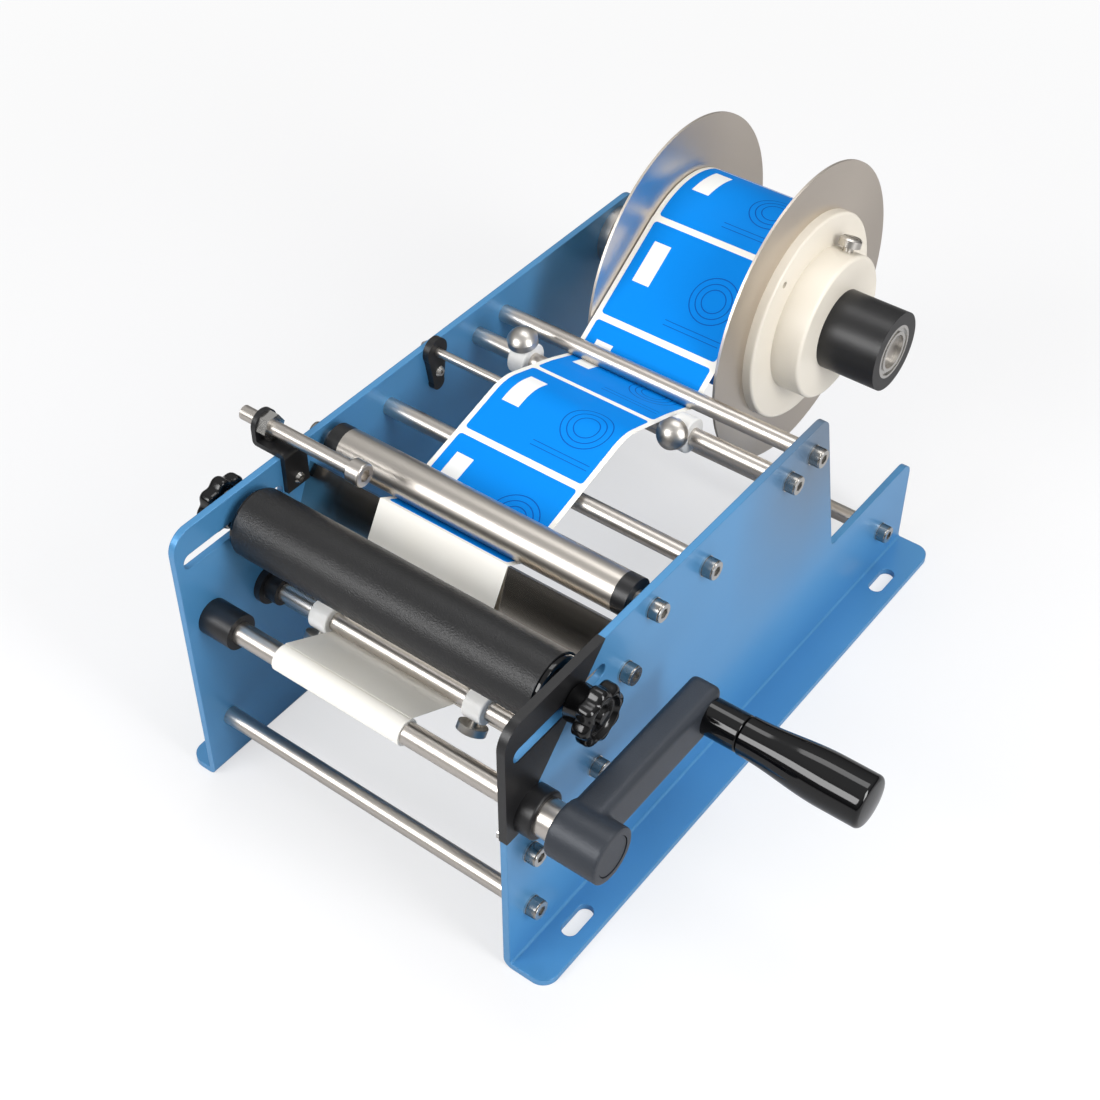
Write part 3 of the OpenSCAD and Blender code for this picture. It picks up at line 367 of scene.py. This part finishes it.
liner_rows = [(place + up * LINER_T / 2, up, WEB_LEFT, WEB_RIGHT, along)
              for (place, up), along in zip(web_path, far_along)]
liner = strip("release_liner", liner_rows, LINER_T, "frame", liner_paper)
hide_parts("label_web")
print("liner", len(liner.data.polygons), "faces")

# %% [markdown]
# The print is a plain trade pattern: a bright blue field, a blank white panel to write on, three thin rings
# and a pair of rules. Every shape is drawn from the flat UV map with Compare nodes, whose third value is half
# the width of a line or panel, so the sizes below are real ones.

# %% Printed label
label_print, tree, shader = finish_named("satin_coated_label", Roughness=0.5, Specular_IOR_Level=0.08)
sheet = add(tree, "ShaderNodeUVMap").outputs["UV"]
flat = add(tree, "ShaderNodeSeparateXYZ", links={"Vector": sheet})
INK_MM = 0.3
RING_CENTRE = (8 * FLAT_MM, 30 * FLAT_MM, 0)
from_centre = add(tree, "ShaderNodeVectorMath", {"operation": "DISTANCE", 1: RING_CENTRE}, {0: sheet})
across, along, out = flat.outputs["X"], flat.outputs["Y"], from_centre.outputs["Value"]
marks = {}
for mark, value, middle, half in [("panel_across", across, -37.0, 5.5), ("panel_along", along, 24.0, 13.0),
                                  ("ring_large", out, 14.0, 0.3), ("ring_middle", out, 10.5, 0.3),
                                  ("ring_small", out, 7.0, 0.3), ("rule_first", along, 50.0, 0.22),
                                  ("rule_second", along, 53.0, 0.22), ("rule_reach", across, 6.0, 18.0)]:
    compare = {"operation": "COMPARE", 1: middle * FLAT_MM, 2: half * FLAT_MM}
    marks[mark] = add(tree, "ShaderNodeMath", compare, {0: value}).outputs[0]
for mark, operation, first, second in [("panel", "MULTIPLY", "panel_across", "panel_along"),
                                       ("rings", "MAXIMUM", "ring_large", "ring_middle"),
                                       ("rings", "MAXIMUM", "rings", "ring_small"),
                                       ("rules", "MAXIMUM", "rule_first", "rule_second"),
                                       ("rules", "MULTIPLY", "rules", "rule_reach"),
                                       ("lines", "MAXIMUM", "rings", "rules")]:
    pair = {0: marks[first], 1: marks[second]}
    marks[mark] = add(tree, "ShaderNodeMath", {"operation": operation}, pair).outputs[0]
ink = add(tree, "ShaderNodeTexNoise", {"Scale": 1 / (INK_MM * FLAT_MM), "Detail": 2.0}, {"Vector": sheet})
field = add(tree, "ShaderNodeMix", {"data_type": "RGBA", 6: colour("#0080DE"), 7: colour("#028AE8")},
            {"Factor": ink.outputs["Fac"]})
lined = add(tree, "ShaderNodeMix", {"data_type": "RGBA", 7: colour("#0550AE")},
            {"Factor": marks["lines"], 6: field.outputs[2]})
panelled = add(tree, "ShaderNodeMix", {"data_type": "RGBA", 7: colour("#F4F4F2")},
               {"Factor": marks["panel"], 6: lined.outputs[2]})
tree.links.new(panelled.outputs[2], shader.inputs["Base Color"])
print("made", label_print.name)

# %% [markdown]
# The labels are rectangles with slightly rounded corners, a few millimetres apart. Near its ends each label's
# rows step inwards, which rounds the corners. Those on the roll turn with the reel, so they are separate.

# %% Labels on the web
LABEL_LEN, LABEL_PITCH = 61.0, 65.0
LABEL_LEFT, LABEL_RIGHT = WEB_LEFT + 3.0, WEB_RIGHT - 3.0
CORNER, ROW_STEP = 2.0, 1.5
LABEL_T = 0.12


def label_stations(length):
    turns = [math.radians(a) for a in (0, 22.5, 45, 67.5, 90)]
    ends = [(CORNER * (1 - math.cos(a)), CORNER * (1 - math.sin(a))) for a in turns]
    middle = [(CORNER + i * ROW_STEP, 0.0) for i in range(1, int((length - 2 * CORNER) / ROW_STEP))]
    return ends + middle + [(length - d, inset) for d, inset in reversed(ends)]


def label_piece(name, start, spot, body, lift):
    rows = []
    for d, inset in label_stations(LABEL_LEN):
        place, up = spot(start + d)
        rows.append((place + up * lift, up, LABEL_LEFT + inset, LABEL_RIGHT - inset, d))
    return strip(name, rows, LABEL_T, body, label_print)


web_labels = []
start = (LABEL_PITCH - LABEL_LEN) / 2
while start + LABEL_LEN < far_along[peel_at]:
    name = f"web_label_{len(web_labels) + 1}"
    web_labels.append(label_piece(name, start, path_point, "frame", LINER_T / 2 + LABEL_T + 0.01))
    start += LABEL_PITCH
print(len(web_labels), "labels between the roll and the peel edge")

# %% Labels on the roll
def roll_point(along):
    """Point on the roll's skin, measured back from where the web leaves it, in mm along the skin."""
    angle = headings[0] + along / ROLL_R
    up = Vector((0, math.sin(angle), -math.cos(angle)))
    return Vector((0, *REEL)) + up * ROLL_R, up


roll_labels = []
for count in range(1, int(2 * math.pi * ROLL_R / LABEL_PITCH) + 1):
    start = (LABEL_PITCH - LABEL_LEN) / 2 - count * LABEL_PITCH
    roll_labels.append(label_piece(f"roll_label_{count}", start, roll_point, "reel", LABEL_T + 0.02))
print(len(roll_labels), "labels on the roll")

# %% [markdown]
# The crank arm is a casting: a square bar that runs into a round hub, with every edge softened by the mould.
# The bar and hub are joined with a Boolean, and a voxel remesh with some smoothing melts the seam into a
# fillet, which no single bevel could do across two shapes. The recess for the cap is cut afterwards, crisp.

# %% Cast crank arm
GRIP = axis_of("grip_collar")
ARM_IN, HUB_OUT = ends_of("crank_arm")
ARM_OUT = ARM_IN + 17.0
ARM_HALF, ARM_PAST_GRIP, HUB_R, CAP_R, CAP_DEEP = 13.0, 9.5, 15.0, 10.95, 3.0


def box_piece(name, low, high):
    bpy.ops.object.select_all(action="DESELECT")
    middle = [(a + b) / 2 * MM for a, b in zip(low, high)]
    sides = [(b - a) * MM for a, b in zip(low, high)]
    bpy.ops.mesh.primitive_cube_add(size=1.0, location=middle, scale=sides)
    bpy.ops.object.transform_apply(location=True, rotation=True, scale=True)
    bpy.context.object.name = name
    return bpy.context.object


def round_piece(name, x0, x1, centre, radius, sides=96):
    bpy.ops.object.select_all(action="DESELECT")
    bpy.ops.mesh.primitive_cylinder_add(vertices=sides, radius=radius * MM, depth=(x1 - x0) * MM,
                                        location=((x0 + x1) / 2 * MM, centre[0] * MM, centre[1] * MM),
                                        rotation=(0, math.pi / 2, 0))
    bpy.ops.object.transform_apply(location=True, rotation=True, scale=True)
    bpy.context.object.name = name
    return bpy.context.object


def use_modifier(piece, name, kind, **settings):
    bpy.ops.object.select_all(action="DESELECT")
    piece.select_set(True)
    bpy.context.view_layer.objects.active = piece
    modifier = piece.modifiers.new(name, kind)
    for setting, value in settings.items():
        setattr(modifier, setting, value)
    bpy.ops.object.modifier_apply(modifier=name)


def joined(piece, other, operation):
    use_modifier(piece, "joined", "BOOLEAN", object=other, operation=operation, solver="EXACT")
    bpy.data.objects.remove(other)


arm = box_piece("cast_arm", (ARM_IN, SHAFT[0], SHAFT[1] - ARM_HALF),
                (ARM_OUT, GRIP[0] + ARM_PAST_GRIP, SHAFT[1] + ARM_HALF))
use_modifier(arm, "corners", "BEVEL", width=3.5 * MM, segments=4)
joined(arm, round_piece("hub", ARM_IN, HUB_OUT, SHAFT, HUB_R), "UNION")
use_modifier(arm, "casting", "REMESH", mode="VOXEL", voxel_size=0.9 * MM)
use_modifier(arm, "mould", "SMOOTH", factor=0.5, iterations=5)
joined(arm, round_piece("cap_recess", HUB_OUT - CAP_DEEP, HUB_OUT + 2.0, SHAFT, CAP_R), "DIFFERENCE")
bpy.ops.object.shade_smooth_by_angle(angle=math.radians(35))
arm.data.materials.append(cast_grey)
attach(arm, "crank")
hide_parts("crank_arm")
print("arm", len(arm.data.polygons), "faces")

# %% [markdown]
# The grip is a turned handle: slim at the collar, fuller towards its flat end. Its profile is drawn as a
# line of points and spun about the grip's axis, the way a lathe makes it.

# %% Turned grip
GRIP_START, grip_end = ends_of("grip")
GRIP_LEN = grip_end - GRIP_START
GRIP_R, GRIP_END_R, END_ROUND = 10.4, 13.9, 2.6


def spun(name, profile, centre, steps=64):
    """Spins (x, radius) points, in mm, about an axis along X through centre."""
    bpy.ops.object.select_all(action="DESELECT")
    mesh = bpy.data.meshes.new(name)
    piece = bpy.data.objects.new(name, mesh)
    bpy.context.collection.objects.link(piece)
    points = [Vector((x, centre[0] + r, centre[1])) * MM for x, r in profile]
    mesh.from_pydata(points, [(i, i + 1) for i in range(len(points) - 1)], [])
    bpy.context.view_layer.objects.active = piece
    piece.select_set(True)
    bpy.ops.object.mode_set(mode="EDIT")
    bpy.ops.mesh.select_all(action="SELECT")
    middle = (0, centre[0] * MM, centre[1] * MM)
    bpy.ops.mesh.spin(steps=steps, angle=2 * math.pi, center=middle, axis=(1, 0, 0))
    bpy.ops.mesh.select_all(action="SELECT")
    bpy.ops.mesh.remove_doubles(threshold=0.00001)
    bpy.ops.mesh.normals_make_consistent(inside=False)
    bpy.ops.object.mode_set(mode="OBJECT")
    bpy.ops.object.shade_smooth_by_angle(angle=math.radians(35))
    return piece


FULL_LEN = GRIP_LEN - END_ROUND - 0.9
grip_profile = [(GRIP_START, 4.2), (GRIP_START, GRIP_R - 0.5), (GRIP_START + 0.5, GRIP_R)]
for i in range(1, 25):
    u = i / 24
    swell = 0.5 - 0.5 * math.cos(math.pi * min(1.0, u / 0.72))
    grip_profile.append((GRIP_START + 0.5 + (FULL_LEN - 0.5) * u, GRIP_R + (GRIP_END_R - GRIP_R) * swell))
for i in range(1, 9):
    a = math.radians(80) * i / 8
    rounded = GRIP_END_R - END_ROUND * (1 - math.cos(a))
    grip_profile.append((GRIP_START + FULL_LEN + END_ROUND * math.sin(a), rounded))
grip_profile += [(grip_end - 0.5, 8.0), (grip_end - 0.1, 4.0), (grip_end, 0.0)]
grip = spun("turned_grip", grip_profile, GRIP)
grip.data.materials.append(black_gloss)
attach(grip, "grip")
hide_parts("grip")
print("grip", len(grip.data.polygons), "faces")

# %% [markdown]
# The star knobs are moulded in glossy black: a short neck, a rounded body with a dished face, and eight
# finger lobes. The body is spun like the grip, and its rim is then drawn in eight times round. The draw fades
# out towards the middle, so the dish and the neck stay round.

# %% Star knobs
KNOB_R, LOBES, LOBE_DEPTH, DISH_R = 16.0, 8, 2.2, 10.8
knob_profile = [(0.0, 0.0), (0.0, 9.4), (0.6, 10.0), (8.2, 10.0), (8.8, 10.4), (9.0, 11.2), (9.0, 13.6)]
for i in range(1, 7):
    a = math.pi / 2 * i / 6
    knob_profile.append((11.0 - 2.0 * math.cos(a), 14.0 + 2.0 * math.sin(a)))
for i in range(9):
    a = math.pi / 2 * i / 8
    knob_profile.append((14.6 + 3.4 * math.sin(a), 12.6 + 3.4 * math.cos(a)))
knob_profile += [(18.0, 11.8), (17.8, 11.2), (17.2, DISH_R), (15.6, 10.2), (15.1, 9.6), (15.0, 8.8),
                 (15.0, 5.6), (15.2, 5.0), (15.8, 4.6), (17.0, 4.3), (17.5, 3.9), (17.7, 3.2), (17.7, 0.0)]


def star_knob(name, seat, outward):
    knob = spun(name, [(seat + outward * d, r) for d, r in knob_profile], PRESS, steps=160)
    for vert in knob.data.vertices:
        y, z = vert.co.y - PRESS[0] * MM, vert.co.z - PRESS[1] * MM
        r = math.hypot(y, z) / MM
        fade = min(1.0, max(0.0, (r - DISH_R) / (KNOB_R - 1.6 - DISH_R)))
        hollow = (0.5 - 0.5 * math.cos(LOBES * math.atan2(z, y))) ** 1.15
        keep = 1 - LOBE_DEPTH * hollow * fade * fade * (3 - 2 * fade) / max(r, 1.0)
        vert.co.y, vert.co.z = PRESS[0] * MM + y * keep, PRESS[1] * MM + z * keep
    knob.data.materials.append(black_moulded)
    body = name.replace("_star", "")
    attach(knob, body)
    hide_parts(body)
    return knob


right_star = star_knob("right_star_knob", ends_of("right_knob")[0], 1)
left_star = star_knob("left_star_knob", ends_of("left_knob")[1], -1)
print("knobs", len(right_star.data.polygons), "and", len(left_star.data.polygons), "faces")

# %% [markdown]
# Socket screws are run in by hand before the key tightens them, so their heads are knurled. Each rim is a
# spun ring whose every second step stands out by a tenth of a millimetre, slipped over the solid's head.

# %% Knurled rims
HEAD_H, HEAD_R, RIDGES, RIDGE_H = 6.0, 5.0, 36, 0.1
HEAD_SEAT = ends_of("washers")[1] - MID
PEEL_SCREWS, LONE_SCREW = [(-103.6, 139.8), (-126.2, 91.3)], (-178.0, 78.0)
through_rods = ["front_tie_rod", "table_rod", "collar_rod", "entry_rod", "rear_tie_rod", "feed_tube"]
rod_screws = [axis_of(rod) for rod in through_rods] + PEEL_SCREWS


def knurled(name, profile, centre, ridges, depth):
    ring = spun(name, profile, centre, steps=2 * ridges)
    outer = max(r for _, r in profile) - 0.05
    for vert in ring.data.vertices:
        y, z = vert.co.y / MM - centre[0], vert.co.z / MM - centre[1]
        r = math.hypot(y, z)
        if r > outer:
            grow = 1 + depth * round(math.cos(ridges * math.atan2(z, y))) / r
            vert.co.y, vert.co.z = (centre[0] + y * grow) * MM, (centre[1] + z * grow) * MM
    ring.data.materials.append(knurl_steel)
    return ring


def head_ring(at, side):
    shape = [(0.05, -0.3), (0.05, 0.35), (HEAD_H - 1.0, 0.35), (HEAD_H - 0.8, 0.2), (HEAD_H - 0.25, 0.1),
             (HEAD_H - 0.1, -0.2)]
    profile = [(MID + side * (HEAD_SEAT + d), HEAD_R + grow) for d, grow in shape]
    return knurled("screw_rim", profile, at, RIDGES, RIDGE_H)


rims = [head_ring(at, side) for side in (1, -1) for at in rod_screws] + [head_ring(LONE_SCREW, 1)]
bpy.ops.object.select_all(action="DESELECT")
for rim in rims:
    rim.select_set(True)
bpy.context.view_layer.objects.active = rims[0]
bpy.ops.object.join()
screw_rims = bpy.context.object
screw_rims.name = "screw_rims"
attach(screw_rims, "frame")
print("screw rims", len(screw_rims.data.polygons), "faces")

# %% [markdown]
# The machine stands on a pale floor. The camera looks down at the front right corner, from where the crank,
# the cradle and the reel are all in view.

# %% Camera
eye = Vector((0.3198, -0.5991, 0.7874))
gaze = Vector((-0.4367, 0.5762, -0.6909))
camera = bpy.data.objects.new("camera", bpy.data.cameras.new("camera"))
bpy.context.collection.objects.link(camera)
camera.location = eye
camera.rotation_euler = gaze.to_track_quat("-Z", "Y").to_euler()
camera.data.sensor_width = 36.0
camera.data.lens = 60.44
bpy.context.scene.camera = camera
print("camera", round(eye.length, 2), "m from the origin")

# %% [markdown]
# The floor is pale and takes a real shadow. What the camera sees of it is lifted towards white by mixing in a
# plain glow for camera rays alone, more of it further out, so the light that bounces back onto the machine
# stays true. In mirror rays the floor is dimmed, as if it ended soon, and that draws the dark edges of the
# rods.

# %% Floor
bpy.ops.object.select_all(action="DESELECT")
bpy.ops.mesh.primitive_plane_add(size=12.0)
floor = bpy.context.object
floor.name = "floor"
floor_white, tree, shader = finish_named("studio_floor", Base_Color=colour("#F0F0F2"), Roughness=0.7)
rays = add(tree, "ShaderNodeLightPath")
glow = add(tree, "ShaderNodeEmission", {"Color": colour("#FFFFFF"), "Strength": 1.0})
place = add(tree, "ShaderNodeTexCoord").outputs["Object"]
far = add(tree, "ShaderNodeVectorMath", {"operation": "DISTANCE", 1: (MID * MM, 0, 0)}, {0: place})
share = add(tree, "ShaderNodeMapRange", {"From Min": 0.4, "From Max": 1.1, "To Min": 0.62, "To Max": 0.96},
            {"Value": far.outputs["Value"]})
lift = add(tree, "ShaderNodeMath", {"operation": "MULTIPLY"},
           {0: share.outputs["Result"], 1: rays.outputs["Is Camera Ray"]})
seen = add(tree, "ShaderNodeMixShader",
           links={"Fac": lift.outputs[0], 1: shader.outputs["BSDF"], 2: glow.outputs["Emission"]})
dim = add(tree, "ShaderNodeEmission", {"Color": colour("#6E6A66"), "Strength": 1.0})
mirrored = add(tree, "ShaderNodeMath", {"operation": "MULTIPLY", 1: 0.45}, {0: rays.outputs["Is Glossy Ray"]})
both = add(tree, "ShaderNodeMixShader",
           links={"Fac": mirrored.outputs[0], 1: seen.outputs["Shader"], 2: dim.outputs["Emission"]})
tree.links.new(both.outputs["Shader"], tree.nodes["Material Output"].inputs["Surface"])
floor.data.materials.append(floor_white)
print("floor", floor.name, "with", floor_white.name)

# %% [markdown]
# Bright metal looks like metal only when there is something dark to mirror. The studio's ceiling glows, and
# its walls fall off to a deep grey at the horizon, which draws the dark streaks along the rods.

# %% World and lamps
world = bpy.data.worlds.new("studio")
world.use_nodes = True
bpy.context.scene.world = world
tree = world.node_tree
rays = add(tree, "ShaderNodeLightPath")
direction = add(tree, "ShaderNodeTexCoord").outputs["Generated"]
towards = add(tree, "ShaderNodeSeparateXYZ", links={"Vector": direction})
glow = add(tree, "ShaderNodeMapRange", {"From Min": 0.05, "From Max": 0.85, "To Min": 0.08, "To Max": 0.55},
           {"Value": towards.outputs["Z"]})
seen = add(tree, "ShaderNodeMath", {"operation": "MAXIMUM"},
           {0: glow.outputs["Result"], 1: rays.outputs["Is Camera Ray"]})
back = tree.nodes["Background"]
back.inputs["Color"].default_value = colour("#FFFFFF")
tree.links.new(seen.outputs[0], back.inputs["Strength"])


def soft_lamp(name, place, aim, size, watts):
    lamp = bpy.data.objects.new(name, bpy.data.lights.new(name, "AREA"))
    lamp.data.shape = "RECTANGLE"
    lamp.data.size, lamp.data.size_y = size
    lamp.data.energy = watts
    lamp.location = place
    lamp.rotation_euler = (Vector(aim) - Vector(place)).to_track_quat("-Z", "Y").to_euler()
    bpy.context.collection.objects.link(lamp)


soft_lamp("front", (-0.62, -1.4, 1.0), (-0.12, 0, 0.1), (1.0, 0.7), 17)
soft_lamp("top", (-0.12, 0.4, 1.6), (-0.12, 0.05, 0.1), (1.2, 0.6), 7)
soft_lamp("side", (1.38, -0.2, 0.9), (-0.12, 0, 0.1), (0.5, 1.2), 20)
bpy.context.scene.view_settings.view_transform = "Standard"
print("lit by a glowing ceiling and three soft lamps")
